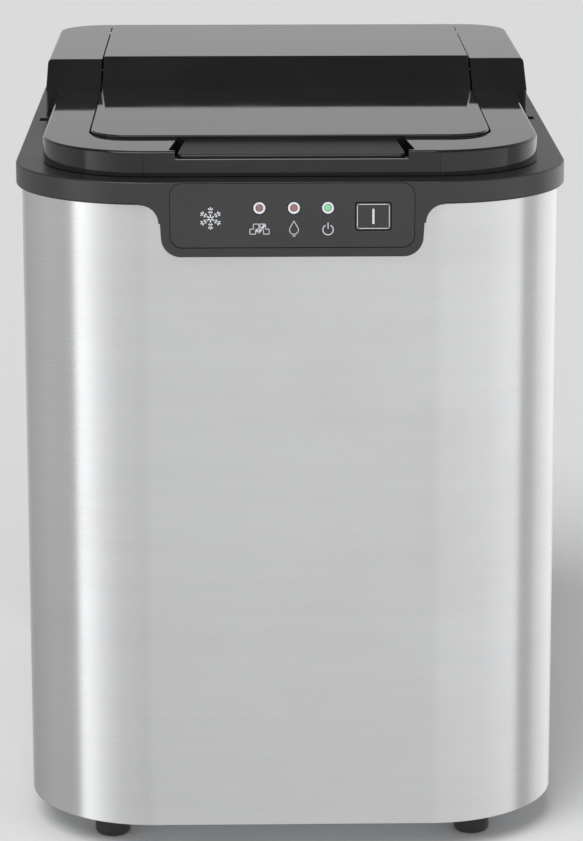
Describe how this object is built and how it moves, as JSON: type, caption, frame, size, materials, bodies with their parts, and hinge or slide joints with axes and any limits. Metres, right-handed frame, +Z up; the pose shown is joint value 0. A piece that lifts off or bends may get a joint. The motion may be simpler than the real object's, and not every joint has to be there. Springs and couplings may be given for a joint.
{
  "type": "ice maker",
  "caption": "Countertop ice maker with a brushed steel wrap, a black stepped top with a hinged lid, an ice basket and a tilting freezing tray inside.",
  "frame": {"origin": "middle of the footprint on the table, under the centre of the bounding box", "axes": "+X to the right of someone facing the front, +Y from the front to the rear, +Z up"},
  "size_m": [0.242, 0.358, 0.328],
  "materials": {
    "brushed_wrap": "fine horizontal brushing with a satin sheen",
    "zinc_sheet": "zinc-coated sheet",
    "black_texture": "fine moulded texture",
    "black_satin": "satin black moulding",
    "black_gloss": "mirror-gloss black moulding",
    "liner_grey": "dark satin moulding",
    "foot_rubber": "black rubber",
    "screw_steel": "bright plated steel",
    "label_film": "dark grey printed film with a satin face",
    "board_green": "circuit board with lacquer",
    "lens_ice_full": "red lens in a white ring",
    "lens_add_water": "red lens in a white ring",
    "lens_running": "green lens in a white ring",
    "tank_white": "white food-grade moulding",
    "basket_clear": "smoky clear moulding",
    "hose_silicone": "translucent silicone",
    "cold_metal": "nickel-plated copper",
    "bracket_steel": "plain stainless sheet",
    "compressor_paint": "black baked paint",
    "fin_aluminium": "thin bare fins",
    "motor_case": "zinc-coated can",
    "fan_plastic": "pale grey moulding",
    "copper_pipe": "bare copper"
  },
  "bodies": {
    "cabinet": {"body_wrap": "brushed_wrap", "base_pan": "zinc_sheet", "rear_panel": "black_texture", "top_frame": "black_satin", "top_cover": "black_gloss", "cord_gland": "black_texture", "foot_front_left": "foot_rubber", "foot_front_right": "foot_rubber", "foot_rear_left": "foot_rubber", "foot_rear_right": "foot_rubber", "rear_screw_lower_left": "screw_steel", "rear_screw_lower_right": "screw_steel", "rear_screw_upper_left": "screw_steel", "rear_screw_upper_right": "screw_steel", "control_label": "label_film", "control_board": "board_green", "indicator_ice_full": "lens_ice_full", "indicator_add_water": "lens_add_water", "indicator_running": "lens_running", "lid_pin_left": "screw_steel", "lid_pin_right": "screw_steel", "water_tank": "tank_white", "ice_chute": "tank_white", "water_pump": "black_texture", "pump_hose": "hose_silicone", "float_stem": "tank_white", "ice_sensor_left": "black_texture", "ice_sensor_right": "black_texture", "evaporator": "cold_metal", "evaporator_bracket": "bracket_steel", "tray_motor": "black_texture", "tray_pin": "screw_steel", "compressor": "compressor_paint", "compressor_base": "zinc_sheet", "terminal_cover": "black_texture", "compressor_grommet_left": "foot_rubber", "compressor_grommet_right": "foot_rubber", "compressor_grommet_rear": "foot_rubber", "condenser": "fin_aluminium", "fan_motor": "motor_case", "fan_shroud": "black_texture", "filter_drier": "copper_pipe", "discharge_line": "copper_pipe", "liquid_line": "copper_pipe", "capillary_line": "copper_pipe", "suction_line": "copper_pipe", "drain_hose": "hose_silicone", "main_board": "board_green"},
    "lid": {"lid_shell": "black_gloss", "lid_liner": "liner_grey", "lid_handle": "black_satin"},
    "button": {"power_button": "label_film"},
    "basket": {"ice_basket": "basket_clear"},
    "tray": {"freezing_tray": "tank_white", "tray_shaft": "screw_steel"},
    "shovel": {"ice_shovel": "tank_white"},
    "fan": {"fan_blade": "fan_plastic"},
    "float": {"float_ring": "tank_white"},
    "plug": {"drain_plug": "black_texture"}
  },
  "joints": [
    {"name": "lid_hinge", "type": "hinge", "parent": "cabinet", "child": "lid", "pos_m": [0, 0.1425, 0.324], "axis": [-1, 0, 0], "range_deg": [0, 100]},
    {"name": "power_button_press", "type": "slide", "parent": "cabinet", "child": "button", "axis": [0, 1, 0], "range_m": [0, 0.0008], "stiffness_N_per_m": 900},
    {"name": "basket_lift", "type": "slide", "parent": "cabinet", "child": "basket", "axis": [0, 0, 1], "range_m": [0, 0.035]},
    {"name": "tray_tilt", "type": "hinge", "parent": "cabinet", "child": "tray", "pos_m": [0, 0.071, 0.281], "axis": [1, 0, 0], "range_deg": [0, 95]},
    {"name": "shovel_slide", "type": "slide", "parent": "cabinet", "child": "shovel", "axis": [0, 1, 0], "range_m": [0, 0.0605]},
    {"name": "fan_spin", "type": "hinge", "parent": "cabinet", "child": "fan", "pos_m": [0.059, 0.145, 0.0628], "axis": [0, 1, 0], "continuous": true},
    {"name": "float_rise", "type": "slide", "parent": "cabinet", "child": "float", "axis": [0, 0, 1], "range_m": [0, 0.018]},
    {"name": "drain_plug_pull", "type": "slide", "parent": "cabinet", "child": "plug", "axis": [0, 1, 0], "range_m": [0, 0.03]}
  ],
  "couplings": [
    {"joint": "shovel_slide", "follows": "tray_tilt", "m_per_rad": 0.0362}
  ]
}
